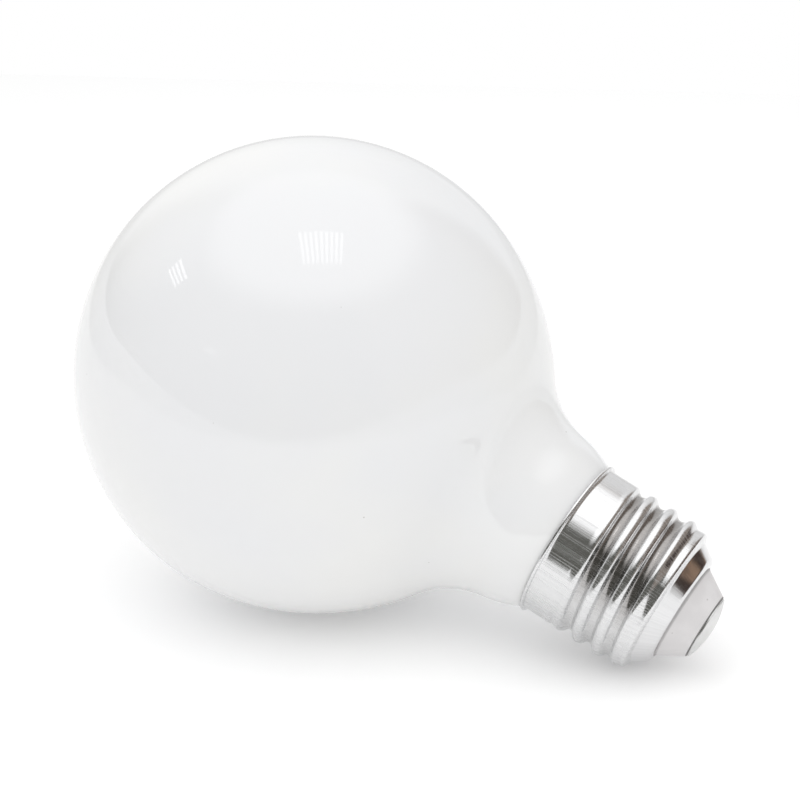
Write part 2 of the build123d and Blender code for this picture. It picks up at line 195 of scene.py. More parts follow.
# Insulator
INSULATOR_WHITE = (0.68, 0.665, 0.667, 1)
INSULATOR_SHADE = (0.635, 0.62, 0.622, 1)
MOTTLE_SCALE = 250
MOTTLE_EDGE = (0.35, 0.7)
MOTTLE_ROUGHNESS = 0.12
GRAIN_SCALE = 2600
INSULATOR_ROUGHNESS = 0.5
INSULATOR_RELIEF = 0.012 * MM
INSULATOR_PIT = (0.2, 0.18, 0.17, 1)
PIT_SCALE = 380
PIT_EDGE = (0.04, 0.07)        # shares of the pits' spacing
PIT_STRENGTH = 0.4
# Painted shade: the insulator is darkened where it meets the cap's hole and just under the
# contact's edge, for the shade in those seams.
SEAM_PAINTED_SHADE = (0.12, 0.115, 0.11, 1)
CAP_SEAM_SHADE_SPAN = (SPIGOT_END + 0.34 * MM, SPIGOT_END + 0.12 * MM)
CAP_SEAM_SHADE_STRENGTH = 0.45
CONTACT_SEAM_SHADE_SPAN = (TIP - 0.2 * MM, TIP - 0.1 * MM)
CONTACT_SEAM_SHADE_STRENGTH = 0.85

# Contact
CONTACT_BRIGHT = (0.77, 0.77, 0.765, 1)
CONTACT_DEEP = (0.66, 0.66, 0.655, 1)
RING_SCALE = 9000
CONTACT_HAZE_SCALE = 300
CONTACT_HAZE_EDGE = (0.3, 0.75)
CONTACT_HAZE_ROUGHNESS = 0.12
CONTACT_ROUGHNESS = 0.3
CONTACT_RELIEF = 0.002 * MM

# Pieces inside the cap
BOARD_GREEN = (0.01, 0.07, 0.03, 1)
BOARD_TRACK = (0.04, 0.17, 0.07, 1)
TRACK_SCALE = 420
TRACK_JITTER = 0.35
TRACK_EDGE = (0.42, 0.5)
WEAVE_SCALE = 2200
SLEEVE_DARK = grey(0.02)
SLEEVE_STRIPE = grey(0.35)
STRIPE_PLACE = -6.2 * MM
STRIPE_EDGE = (0.64 * MM, 0.8 * MM)
SLEEVE_WRINKLES = 900
LACQUER_DEEP = (0.02, 0.08, 0.06, 1)
LACQUER_PALE = (0.05, 0.14, 0.1, 1)
LACQUER_SCALE = 700
LACQUER_WRINKLES = 1200
BAND_COLOURS = ((0.25, 0.03, 0.02, 1), (0.02, 0.02, 0.02, 1), (0.45, 0.28, 0.05, 1))
BAND_PLACES = (61.7 * MM, 63.0 * MM, 64.3 * MM)
BAND_EDGE = (0.3 * MM, 0.36 * MM)
BLACK_PACKAGE = {
    "dark": grey(0.012), "light": grey(0.03), "scale": 900, "relief": 0.01 * MM, "roughness": 0.5,
}
PLAIN_WIRE = {
    "dark": grey(0.5), "light": grey(0.66), "scale": 1500, "relief": 0.004 * MM, "roughness": 0.28,
}
SOLDER = {
    "dark": grey(0.42), "light": grey(0.6), "scale": 800, "relief": 0.02 * MM, "roughness": 0.22,
}
CEMENT = {
    "dark": (0.34, 0.31, 0.27, 1), "light": (0.5, 0.47, 0.42, 1),
    "scale": 500, "relief": 0.06 * MM, "roughness": 0.8,
}
WIRE_SLEEVE = {
    "dark": (0.66, 0.64, 0.6, 1), "light": (0.78, 0.76, 0.72, 1),
    "scale": 700, "relief": 0.01 * MM, "roughness": 0.4,
}

# Camera, from a fit of the globe's circle, the neck's outline and the cap's crests
LENS = 76.5
SENSOR = 36.0
CAMERA_AZIMUTH = 26.85
CAMERA_ELEVATION = 17.61
CAMERA_RIGHT = 14.58 * MM
CAMERA_UP = -4.24 * MM
CAMERA_DISTANCE = 287.45 * MM

# White sheet under the lamp
SHEET_FRONT_AZIMUTH = 15
SHEET_FRONT = 0.19
SHEET_BACK = 0.7
SHEET_RIM = 0.1                # sine of the elevation of its far edge, as the lamp sees it
SHEET_DIP = 0.33               # how much lower the near edge is
FLOOR_WHITE = 0.86
FLOOR_LIFT = 0.19
SEEN_RAYS = ("Is Camera Ray", "Is Glossy Ray", "Is Transmission Ray")

# The room, as the lamp reflects it. Angles are azimuths in degrees, with 0 at -Y.
SHEET_WHITE = grey(0.74)
SHEET_RIM_BLUR = 0.004
DIM_AZIMUTH = -25              # middle of the dim side of the room
DIM_EDGE = (-0.2, 0.15)        # cosines of the angle from it where the walls are pale and dim
WALL_DIM = (0.125, 0.125, 0.112, 1)
WALL_PALE = grey(0.88)
WALL_BROWN = (0.3, 0.26, 0.23, 1)
BROWN_AZIMUTH = 112            # middle of the brownish side, beyond the cap
BROWN_EDGE = (0.5, 0.7)        # cosines of the angle from it
WALL_TOP = (0.66, 0.87)        # sines of the elevations where the walls turn into ceiling
WINDOW_FROM = (-120, 50)       # azimuth and elevation of its middle
WINDOW_EDGE = (0.6, 0.95)      # cosines of the angle from its middle
WINDOW_SHARE = 0.5             # how near it comes to the ceiling's white
CEILING_WHITE = grey(1.45)
STRAIGHT_UP = 0.01             # least level part of a direction, so that nothing divides by 0
CEILING = 1.0
SLAT_SHARE = 0.55
CEILING_LAMPS = (
    {"place": (0.16, -0.17), "size": 0.3, "turn": 33, "slats": 9, "level": 3.2},
    {"place": (-1.15, -0.52), "size": 0.3, "turn": 20, "slats": 4, "level": 3.0},
    {"place": (-0.93, -2.3), "size": 0.3, "turn": 33, "slats": 5, "level": 1.6},
    {"place": (0.3, -1.9), "size": 0.05, "turn": 0, "slats": 1, "level": 2.0},
)
CARD_NEAR = {"x": 64 * MM, "height": 28 * MM, "from_y": -10 * MM, "to_y": 62 * MM}
CARD_FAR = {"x": 141 * MM, "height": 1.5 * MM, "from_y": -12 * MM, "to_y": 87 * MM}
CARD_BROWN = (0.05, 0.035, 0.03, 1)
CARD_TAN = (0.3, 0.2, 0.14, 1)
CARD_PATCHES = 60
CARD_PATCH_EDGE = (0.55, 0.65)

# Light
FILL = 0.86
KEY_FROM = (20, 68)            # azimuth and elevation
KEY_DISTANCE = 0.7
KEY_SIZE = 0.9
KEY_POWER = 2.1

# The lamp's X, Y and Z, as it lies on the floor
LAMP_FRAME = Matrix((
    (-math.sin(TILT), 0, math.cos(TILT)),
    (0, 1, 0),
    (-math.cos(TILT), 0, -math.sin(TILT)),
))


def laid(points):
    """Points of the lamp's frame, turned and moved to where the lamp lies on the floor."""
    return points @ np.array(LAMP_FRAME).T + np.array(GLOBE_CENTRE)


def unit(vector):
    return vector / np.linalg.norm(vector)


def arc(centre, radius, start, end):
    """Points at one radius from a centre, from one angle to another, as (radius, place)."""
    count = max(3, math.ceil(abs(end - start) / ARC_STEP))
    angle = np.linspace(start, end, count + 1)
    return np.asarray(centre) + radius * np.stack([np.cos(angle), np.sin(angle)], 1)


def short_arc(centre, start, end):
    """The shorter arc about a centre between two points."""
    first, last = start - centre, end - centre
    start_angle = math.atan2(first[1], first[0])
    turn = math.remainder(math.atan2(last[1], last[0]) - start_angle, math.tau)
    return arc(centre, np.linalg.norm(first), start_angle, start_angle + turn)


def line(start, end, step=LINE_STEP):
    """Evenly spaced points on a straight line."""
    start, end = np.array(start, float), np.array(end, float)
    count = max(2, math.ceil(np.linalg.norm(end - start) / step))
    return start + (end - start) * np.linspace(0, 1, count + 1)[:, None]


def joined(*stretches):
    """One run of points, without the doubled ones where two stretches meet."""
    points = np.concatenate(stretches)
    apart = np.linalg.norm(np.diff(points, axis=0), axis=1) > SAME_POINT
    return points[np.concatenate([[True], apart])]


def rounded(corners, radii, step=LINE_STEP):
    """A broken line: straight runs, with a tangent arc of the given radius at each corner."""
    corners = [np.array(corner, float) for corner in corners]
    stretches = []
    start = corners[0]
    for before, corner, after, radius in zip(corners, corners[1:], corners[2:], radii):
        into, out = unit(corner - before), unit(after - corner)
        side = math.copysign(1, into[0] * out[1] - into[1] * out[0])
        back = radius * math.tan(math.acos(into @ out) / 2)
        stretches.append(line(start, corner - into * back, step))
        start = corner + out * back
        if radius:
            centre = corner - into * back + side * radius * np.array([-into[1], into[0]])
            stretches.append(short_arc(centre, corner - into * back, start))
    return joined(*stretches, line(start, corners[-1], step))


def grid_mesh(name, grid, ring=False):
    """A closed mesh from a grid of points: rows along the section, columns round the axis.

    The last column joins the first one. With ring, the last row joins the first one too,
    and otherwise each of those two rows is drawn in to a single point on the axis.
    """
    rows, columns = grid.shape[:2]
    points = laid(grid.reshape(-1, 3))
    index = np.arange(rows * columns).reshape(rows, columns)
    if not ring:
        points = points[columns - 1:len(points) - columns + 1]
        index = np.clip(index - columns + 1, 0, len(points) - 1)
    body = np.concatenate([index, index[:1]]) if ring else index[1:-1]
    beside = np.roll(body, -1, 1)
    quads = np.stack([body[:-1], beside[:-1], beside[1:], body[1:]], -1).reshape(-1, 4)
    faces = quads.tolist()
    if not ring:
        last = len(points) - 1
        for pole, row, other in ((0, beside[0], body[0]), (last, body[-1], beside[-1])):
            faces += np.stack([np.full(columns, pole), row, other], -1).tolist()
    mesh = bpy.data.meshes.new(name)
    mesh.from_pydata(points.tolist(), [], faces)
    mesh.polygons.foreach_set("use_smooth", np.ones(len(faces), bool))
    mesh.set_sharp_from_angle(angle=SHARP_EDGE)
    piece = bpy.data.objects.new(name, mesh)
    bpy.context.scene.collection.objects.link(piece)
    return piece


def turned(section, around):
    """A section of (radius, place) points carried round the lamp's axis."""
    angle = np.linspace(0, math.tau, around, endpoint=False)
    radius, place = section[:, :1], section[:, 1:]
    return np.stack([radius * np.cos(angle), radius * np.sin(angle),
                     np.broadcast_to(place, (len(section), around))], -1)


def neck_arc_radius(place):
    """Radius of the neck's last arc at a place along the axis."""
    middle = NECK_MOUTH - NECK_END_ARC * math.cos(NECK_MOUTH_ANGLE)
    rise = place - CAP_MOUTH + NECK_END_ARC * math.sin(NECK_MOUTH_ANGLE)
    return middle + math.sqrt(NECK_END_ARC ** 2 - rise ** 2)


def glass_section():
    """Tangent arcs and one straight run, from the far pole to the neck, then the hollow."""
    side = np.array([math.cos(NECK_TAPER), math.sin(NECK_TAPER)])
    leave = np.array([math.sin(SHOULDER_ANGLE), math.cos(SHOULDER_ANGLE)])
    shoulder = (GLOBE_RADIUS - SHOULDER_RADIUS) * leave
    end_centre = np.array([NECK_MOUTH, CAP_MOUTH]) - NECK_END_ARC * np.array(
        [math.cos(NECK_MOUTH_ANGLE), math.sin(NECK_MOUTH_ANGLE)]
    )
    bend = end_centre + NECK_END_ARC * side
    along = np.array([side[1], -side[0]])
    start = bend + NECK_FILLET * side - shoulder
    reach = SHOULDER_RADIUS + NECK_FILLET
    across = start @ along
    travel = -across - math.sqrt(across ** 2 - start @ start + reach ** 2)
    fillet_centre = shoulder + start + travel * along
    shoulder_end = shoulder + (fillet_centre - shoulder) * SHOULDER_RADIUS / reach
    fillet_end = fillet_centre - NECK_FILLET * side
    neck_end = np.array([neck_arc_radius(NECK_END), NECK_END])
    outside = joined(
        arc((0, 0), GLOBE_RADIUS, -math.pi / 2, math.pi / 2 - SHOULDER_ANGLE),
        short_arc(shoulder, GLOBE_RADIUS * leave, shoulder_end),
        short_arc(fillet_centre, shoulder_end, fillet_end),
        line(fillet_end, bend),
        short_arc(end_centre, bend, neck_end),
    )
    hollow = rounded(
        [neck_end, (neck_end[0] - FLARE_WALL, NECK_END), (FLARE_TOP_RADIUS, FLARE_TOP),
         (EXHAUST_RADIUS, FLARE_TOP), (EXHAUST_RADIUS, EXHAUST_END), (0, EXHAUST_END)],
        [FLARE_WALL / 2, FLARE_FILLET, FLARE_FILLET, EXHAUST_ROUND],
    )
    return joined(outside, hollow)


def smooth_step(share):
    share = np.clip(share, 0, 1)
    return share * share * (3 - 2 * share)


def thread_radius(angle, place):
    """Radius of the rolled thread: crest and root are arcs of one radius, meeting as tangents."""
    crest = CAP_MOUTH + CREST_AT_FLOOR + THREAD_PITCH * angle / math.tau
    from_crest = np.abs((place - crest + THREAD_PITCH / 2) % THREAD_PITCH - THREAD_PITCH / 2)
    from_root = THREAD_PITCH / 2 - from_crest
    crest_centre = THREAD_CREST - THREAD_ARC
    root_centre = crest_centre + 2 * math.sqrt(THREAD_ARC ** 2 - (THREAD_PITCH / 4) ** 2)
    near_crest = from_crest < THREAD_PITCH / 4
    offset = np.where(near_crest, from_crest, from_root)
    height = np.sqrt(THREAD_ARC ** 2 - offset ** 2)
    return np.where(near_crest, crest_centre + height, root_centre - height)


def lip_bead():
    """Middle of the rolled bead, and the point where the sheet's outer face leaves it."""
    centre = np.array([LIP_RADIUS - LIP_BEAD, CAP_MOUTH])
    flare = unit(np.array([BAND_RADIUS - centre[0] - SHEET / 2, LIP_FLARE_LENGTH]))
    outwards = np.array([flare[1], -flare[0]])
    offset = SHEET / 2 * outwards[0]
    return centre, centre + outwards * offset + flare * math.sqrt(LIP_BEAD ** 2 - offset ** 2)


def cap_grid():
    """The sheet's outer face, its inner face one thickness under it, and the rolled lip.

    The wall's radius is the band's, blended into the thread and then into the collar by
    smooth steps along the axis. The inner face is the outer one moved along its normals.
    """
    bead_centre, leave = lip_bead()
    lip = rounded(
        [leave, (BAND_RADIUS, CAP_MOUTH + LIP_FLARE_LENGTH),
         (BAND_RADIUS, CAP_MOUTH + THREAD_START)],
        [LIP_FLARE_FILLET],
        FINE_STEP,
    )
    wall = line(
        (BAND_RADIUS, CAP_MOUTH + THREAD_START),
        (COLLAR_RADIUS, CAP_MOUTH + THREAD_END),
        THREAD_PITCH / ROWS_PER_PITCH,
    )
    end = rounded(
        [(COLLAR_RADIUS, CAP_MOUTH + THREAD_END), (COLLAR_RADIUS, COLLAR_END),
         (STEP_RADIUS, CONE_START), (CONE_END_RADIUS, CAP_END), (CAP_HOLE, CAP_END)],
        [COLLAR_ROUND, STEP_FILLET, CAP_END_ROUND],
        FINE_STEP,
    )
    outer = turned(np.concatenate([lip[:-1], wall, end[1:]]), CAP_AROUND)

    angle = np.linspace(0, math.tau, CAP_AROUND, endpoint=False)
    place = wall[:, 1:]
    fade_in = smooth_step((place - CAP_MOUTH - THREAD_START) / THREAD_FADE_IN)
    fade_out = smooth_step((place - CAP_MOUTH - THREAD_END) / THREAD_FADE_OUT + 1)
    radius = BAND_RADIUS + (thread_radius(angle, place) - BAND_RADIUS) * fade_in
    radius = radius + (COLLAR_RADIUS - radius) * fade_out
    rows = slice(len(lip) - 1, len(lip) - 1 + len(wall))
    outer[rows, :, 0] = radius * np.cos(angle)
    outer[rows, :, 1] = radius * np.sin(angle)

    along = np.gradient(outer, axis=0)
    round_axis = np.roll(outer, -1, 1) - np.roll(outer, 1, 1)
    normal = np.cross(round_axis, along)
    normal /= np.linalg.norm(normal, axis=-1, keepdims=True)
    coarse = np.append(np.arange(len(outer) - 1, 0, -INNER_COARSER), 0)
    inner = (outer - SHEET * normal)[coarse]

    inner_leave = inner[-1, 0, [0, 2]] - bead_centre
    start = math.atan2(inner_leave[1], inner_leave[0])
    turn = (math.atan2(*(leave - bead_centre)[::-1]) - start) % math.tau
    bead = turned(arc(bead_centre, LIP_BEAD, start, start + turn)[1:-1], CAP_AROUND)
    return np.concatenate([bead, outer, inner])


def insulator_section():
    """Flange under the cap's cone, spigot through its hole, and the cone to the tip."""
    slope = (STEP_RADIUS - CONE_END_RADIUS) / CONE_LENGTH
    flange_end = CAP_END - SHEET - FIT
    inside = (SHEET + FIT) * math.hypot(1, slope)
    flange_radius = [STEP_RADIUS - slope * (place - CONE_START) - inside
                     for place in (FLANGE_FACE, flange_end)]
    spigot = CAP_HOLE - FIT
    chamfer = SPIGOT_END + INSULATOR_CHAMFER
    return rounded(
        [(WIRE_HOLE, FLANGE_FACE), (flange_radius[0], FLANGE_FACE), (flange_radius[1], flange_end),
         (spigot, flange_end), (spigot, SPIGOT_END), (spigot - INSULATOR_CHAMFER, chamfer),
         (INSULATOR_TIP, TIP), (PIN_RADIUS, TIP), (PIN_RADIUS, TIP - PIN_LENGTH),
         (WIRE_HOLE, TIP - PIN_LENGTH), (WIRE_HOLE, FLANGE_FACE)],
        [INSULATOR_ROUND, CAP_END_ROUND, 0, EDGE_ROUND, EDGE_ROUND, INSULATOR_ROUND, 0, 0, 0],
        FINE_STEP,
    )[:-1]


def contact_section():
    """Pin, flat underside, short rim and shallow dome, from the pin's end to the apex."""
    rim_top = TIP + CONTACT_RIM
    ball = (CONTACT_RADIUS ** 2 + CONTACT_DOME ** 2) / (2 * CONTACT_DOME)
    centre = np.array([0, rim_top + CONTACT_DOME - ball])
    edge_angle = math.asin((CONTACT_RADIUS - EDGE_ROUND) / ball)
    dome = arc(centre, ball, math.pi / 2 - edge_angle, math.pi / 2)
    rim = rounded(
        [(0, TIP - PIN_LENGTH), (PIN_RADIUS, TIP - PIN_LENGTH), (PIN_RADIUS, TIP),
         (CONTACT_RADIUS, TIP), (CONTACT_RADIUS, rim_top), dome[0]],
        [0, 0, CONTACT_EDGE, EDGE_ROUND / 2],
        FINE_STEP,
    )
    return joined(rim, dome)


class Signal:
    """A number or colour on its way through a material. Sums and products add Math nodes."""

    def __init__(self, graph, socket):
        self.graph = graph
        self.socket = socket

    def maths(self, operation, *values):
        inputs = dict(enumerate(values))
        return self.graph.node("ShaderNodeMath", {"operation": operation}, inputs)

    def __add__(self, other):
        return self.maths("ADD", self, other)

    def __sub__(self, other):
        return self.maths("SUBTRACT", self, other)

    def __rsub__(self, other):
        return self.maths("SUBTRACT", other, self)

    def __mul__(self, other):
        return self.maths("MULTIPLY", self, other)

    def __truediv__(self, other):
        return self.maths("DIVIDE", self, other)

    def __pow__(self, other):
        return self.maths("POWER", self, other)

    __radd__ = __add__
    __rmul__ = __mul__

    def at_least(self, other):
        """This or the other, whichever is more."""
        return self.maths("MAXIMUM", self, other)

    def size(self):
        return self.maths("ABSOLUTE", self)

    def step(self, low, high):
        """Rises smoothly from 0 to 1 as this goes from low to high."""
        inputs = {"Value": self, "From Min": low, "From Max": high}
        return self.graph.node("ShaderNodeMapRange", {"interpolation_type": "SMOOTHSTEP"}, inputs)


class Graph:
    """The nodes of one material or of the world."""

    def __init__(self, owner):
        owner.use_nodes = True
        self.tree = owner.node_tree
        self.tree.nodes.clear()

    def node(self, kind, settings=None, inputs=None, output=0):
        """Adds a node: its settings first, then the values or links of its sockets."""
        made = self.tree.nodes.new(kind)
        for name, value in (settings or {}).items():
            setattr(made, name, value)
        for name, value in (inputs or {}).items():
            if isinstance(value, Signal):
                self.tree.links.new(value.socket, made.inputs[name])
            else:
                made.inputs[name].default_value = value
        return Signal(self, made.outputs[output]) if made.outputs else None

    def mix(self, share, first, second):
        """From the first colour to the second as share goes from 0 to 1."""
        return self.node("ShaderNodeMix", {"data_type": "RGBA"}, {0: share, 6: first, 7: second}, 2)

    def noise(self, place, scale, detail=2.0, roughness=0.5):
        inputs = {"Vector": place, "Scale": scale, "Detail": detail, "Roughness": roughness}
        return self.node("ShaderNodeTexNoise", None, inputs)

    def cells(self, place, scale):
        """How far it is to the nearest of many scattered points, as a share of their spacing."""
        return self.node("ShaderNodeTexVoronoi", None, {"Vector": place, "Scale": scale})

    def vector(self, operation, first, second=None, output=0):
        inputs = {0: first} if second is None else {0: first, 1: second}
        return self.node("ShaderNodeVectorMath", {"operation": operation}, inputs, output)

    def split(self, place):
        """The X, Y and Z of a place."""
        return [self.node("ShaderNodeSeparateXYZ", None, {0: place}, axis) for axis in range(3)]

    def place(self):
        """Where a point of the piece is, in the frame of the floor."""
        return self.node("ShaderNodeTexCoord", output=3)

    def lamp_place(self):
        """Where a point of the piece is, in the lamp's own frame."""
        turn = LAMP_FRAME.to_euler()
        inputs = {"Vector": self.place(), "Location": GLOBE_CENTRE, "Rotation": turn}
        return self.node("ShaderNodeMapping", {"vector_type": "TEXTURE"}, inputs)

    def bump(self, height, depth):
        """Relief of a given depth, for the Normal socket."""
        inputs = {"Height": height, "Distance": depth, "Strength": 1.0}
        return self.node("ShaderNodeBump", None, inputs)


def surface(name, build, **sockets):
    """A material from one Principled shader: constants, and what build gives for its sockets."""
    material = bpy.data.materials.new(name)
    graph = Graph(material)
    shader = graph.node("ShaderNodeBsdfPrincipled", None, {**sockets, **build(graph)})
    graph.node("ShaderNodeOutputMaterial", None, {"Surface": shader})
    return material


def opal_glass(graph):
    """White flashed glass: faint clouds in the white, wiping marks, seeds and a few specks."""
    place = graph.place()
    clouds = graph.noise(place, CLOUD_SCALE, 3)
    tint = graph.mix(clouds.step(*CLOUD_EDGE), GLASS_COOL, GLASS_WARM)
    from_speck = graph.cells(place, 1 / SPECK_SPACING)
    speck = 1 - from_speck.step(SPECK_SIZE / 2, SPECK_SIZE)
    wiped = graph.noise(graph.vector("MULTIPLY", place, WIPE_SCALES), 1, 4)
    waves = graph.noise(place, WAVE_SCALE, 2)
    seeds = graph.noise(place, SEED_SCALE, 2)
    return {
        "Base Color": graph.mix(speck * SPECK_STRENGTH, tint, SPECK_COLOUR),
        "Roughness": GLASS_ROUGHNESS + wiped.step(*WIPE_EDGE) * WIPE_ROUGHNESS,
        "Normal": graph.bump(waves + seeds * SEED_SHARE, GLASS_RELIEF),
    }


def drawn_lines(graph, scale):
    """Lines along the lamp's axis: noise on the direction from the axis, stretched along it."""
    place = graph.lamp_place()
    across = graph.vector("MULTIPLY", place, (1, 1, 0))
    direction = graph.vector("NORMALIZE", across)
    along = graph.vector("MULTIPLY", place, (0, 0, 1 / (DRAWN_STRETCH * BAND_RADIUS)))
    return graph.noise(graph.vector("ADD", direction, along), scale, 3, 0.6)


def cap_metal(graph):
    """Bright rolled sheet: lines along the axis, hazier patches, and painted shade in the thread's
    roots.

    The painted shade is stronger on the upper side, as a painted reflection of the room's dark
    side, and the cone is smoother than the rest.
    """
    x, y, z = graph.split(graph.lamp_place())
    # Painted shade in the thread's roots, stronger on the upper side as a painted reflection of the
    # room's dark side.
    depth = ((x ** 2 + y ** 2) ** 0.5).step(*ROOT_SHADE_RADII)
    thread_end = CAP_MOUTH + THREAD_END
    painted_shade = depth * z.step(thread_end, thread_end - THREAD_FADE_OUT)
    painted_shade = painted_shade * (ROOT_SHADE_BELOW + x.step(*UPPER_SHADE_SIDE) * ROOT_SHADE_ADDED_ABOVE)
    fine = drawn_lines(graph, DRAWN_FINE)
    coarse = drawn_lines(graph, DRAWN_COARSE)
    haze = graph.noise(graph.place(), HAZE_SCALE, 3)
    sheet = graph.mix(coarse.step(*TONE_EDGE), METAL_DEEP, METAL_BRIGHT)
    drawn = 1 - z.step(COLLAR_END, CONE_START + STEP_LENGTH) * CONE_POLISH
    hazy = haze.step(*HAZE_EDGE) * HAZE_ROUGHNESS
    return {
        "Base Color": graph.mix(painted_shade, sheet, ROOT_PAINTED_SHADE),
        "Roughness": METAL_ROUGHNESS + hazy + fine.step(*DRAWN_EDGE) * drawn * DRAWN_ROUGHNESS,
        "Normal": graph.bump(fine * drawn, DRAWN_RELIEF),
    }


def white_insulator(graph):
    """Moulded white body: fine grain, faint mottling, tiny dark pits, and painted shade in both
    seams.
    """
    place = graph.place()
    mottle = graph.noise(place, MOTTLE_SCALE, 3)
    grain = graph.noise(place, GRAIN_SCALE, 2)
    pit = 1 - graph.cells(place, PIT_SCALE).step(*PIT_EDGE)
    body = graph.mix(mottle.step(*MOTTLE_EDGE), INSULATOR_SHADE, INSULATOR_WHITE)
    along = graph.split(graph.lamp_place())[2]
    # Painted shade in the seam at the cap and in the seam under the contact.
    cap_seam_shade = along.step(*CAP_SEAM_SHADE_SPAN) * CAP_SEAM_SHADE_STRENGTH
    contact_seam_shade = along.step(*CONTACT_SEAM_SHADE_SPAN) * CONTACT_SEAM_SHADE_STRENGTH
    body = graph.mix(cap_seam_shade.at_least(contact_seam_shade), body, SEAM_PAINTED_SHADE)
    return {
        "Base Color": graph.mix(pit * PIT_STRENGTH, body, INSULATOR_PIT),
        "Roughness": INSULATOR_ROUGHNESS + mottle * MOTTLE_ROUGHNESS,
        "Normal": graph.bump(grain + mottle / 2, INSULATOR_RELIEF),
    }


def contact_metal(graph):
    """Plated contact: turned rings about the axis, under a soft haze."""
    place = graph.lamp_place()
    across = graph.vector("LENGTH", graph.vector("MULTIPLY", place, (1, 1, 0)), output=1)
    inputs = {"W": across * RING_SCALE, "Detail": 2}
    rings = graph.node("ShaderNodeTexNoise", {"noise_dimensions": "1D"}, inputs)
    haze = graph.noise(place, CONTACT_HAZE_SCALE, 3)
    return {
        "Base Color": graph.mix(haze.step(*CONTACT_HAZE_EDGE), CONTACT_DEEP, CONTACT_BRIGHT),
        "Roughness": CONTACT_ROUGHNESS + haze * CONTACT_HAZE_ROUGHNESS,
        "Normal": graph.bump(rings + haze, CONTACT_RELIEF),
    }


def grained(dark, light, scale, relief, roughness):
    """A plain finish with mottling from a dark to a light tone, and grain of one scale."""

    def build(graph):
        place = graph.place()
        mottle = graph.noise(place, scale, 4, 0.6)
        grain = graph.noise(place, scale * 6, 2)
        return {
            "Base Color": graph.mix(mottle.step(0.3, 0.7), dark, light),
            "Roughness": roughness + mottle * 0.15,
            "Normal": graph.bump(grain + mottle, relief),
        }

    return build


def circuit_board(graph):
    """Green lacquer over copper tracks, which show as paler, slightly raised lines."""
    place = graph.lamp_place()
    through = graph.vector("MULTIPLY", place, (1, 0.01, 1))
    blocks = {"Vector": through, "Scale": TRACK_SCALE, "Randomness": TRACK_JITTER}
    tracks = graph.node("ShaderNodeTexVoronoi", {"distance": "CHEBYCHEV", "feature": "F1"}, blocks)
    track = tracks.step(*TRACK_EDGE)
    weave = graph.noise(place, WEAVE_SCALE, 2)
    return {
        "Base Color": graph.mix(track, BOARD_GREEN, BOARD_TRACK),
        "Roughness": 0.32 + weave * 0.1,
        "Normal": graph.bump(track + weave * 0.2, 0.03 * MM),
    }


def sleeve(graph):
    """Dark shrunk sleeve with a paler stripe down one side."""
    x = graph.split(graph.lamp_place())[0]
    stripe = 1 - (x - STRIPE_PLACE).size().step(*STRIPE_EDGE)
    wrinkles = graph.noise(graph.place(), SLEEVE_WRINKLES, 3)
    return {
        "Base Color": graph.mix(stripe, SLEEVE_DARK, SLEEVE_STRIPE),
        "Roughness": 0.3 + wrinkles * 0.15,
        "Normal": graph.bump(wrinkles, 0.03 * MM),
    }


def banded_lacquer(graph):
    """Green lacquer with three colour bands across the barrel."""
    z = graph.split(graph.lamp_place())[2]
    mottle = graph.noise(graph.place(), LACQUER_SCALE)
    base = graph.mix(mottle.step(0.3, 0.7), LACQUER_DEEP, LACQUER_PALE)
    for place, colour in zip(BAND_PLACES, BAND_COLOURS):
        band = 1 - (z - place).size().step(*BAND_EDGE)
        base = graph.mix(band, base, colour)
    wrinkles = graph.noise(graph.place(), LACQUER_WRINKLES, 3)
    return {
        "Base Color": base,
        "Roughness": 0.28 + wrinkles * 0.1,
        "Normal": graph.bump(wrinkles, 0.02 * MM),
    }


# The four pieces that show, in place of their plain solids
globe = grid_mesh("opal_globe", turned(glass_section(), GLASS_AROUND))
shell = grid_mesh("rolled_cap", cap_grid(), ring=True)
insulator = grid_mesh("insulator_body", turned(insulator_section(), SMALL_AROUND), ring=True)
contact = grid_mesh("domed_contact", turned(contact_section(), SMALL_AROUND))

DRESSED = [
    (globe, "glass_globe", "opal_glass", surface("opal_glass", opal_glass, IOR=GLASS_IOR)),
    (shell, "screw_shell", "cap_metal", surface("cap_metal", cap_metal, Metallic=1.0)),
    (insulator, "cap_insulator", "white_insulator", surface("white_insulator", white_insulator)),
    (contact, "centre_contact", "contact_metal",
     surface("contact_metal", contact_metal, Metallic=1.0)),
]
for piece, node, slot, material in DRESSED:
    piece.data.materials.append(material)
    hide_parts(node)
    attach(piece, "root")

# The pieces inside the cap keep their solids
black_package = surface("black_package", grained(**BLACK_PACKAGE))
plain_wire = surface("plain_wire", grained(**PLAIN_WIRE), Metallic=1.0)
INNER_FINISHES = {
    "cap_cement": surface("cement", grained(**CEMENT)),
    "driver_board": surface("circuit_board", circuit_board),
    "filter_capacitor": surface("capacitor_sleeve", sleeve),
    "bridge_rectifier": black_package,
    "driver_chip": black_package,
    "fuse_resistor": surface("resistor_lacquer", banded_lacquer),
    "sense_resistors": black_package,
    "live_wire": surface("wire_sleeve", grained(**WIRE_SLEEVE)),
    "neutral_wire": plain_wire,
    "filament_lead_left": plain_wire,
    "filament_lead_right": plain_wire,
    "solder_joints": surface("solder", grained(**SOLDER), Metallic=1.0),
}
for node, material in INNER_FINISHES.items():
    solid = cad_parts[node]
    solid.data.materials.clear()
    solid.data.materials.append(material)


def from_view(azimuth, elevation):
    """Direction towards a place seen at an azimuth and an elevation. Azimuth 0 is at -Y."""
    around, up = math.radians(azimuth), math.radians(elevation)
    level = math.cos(up)
    return Vector((math.sin(around) * level, -math.cos(around) * level, math.sin(up)))


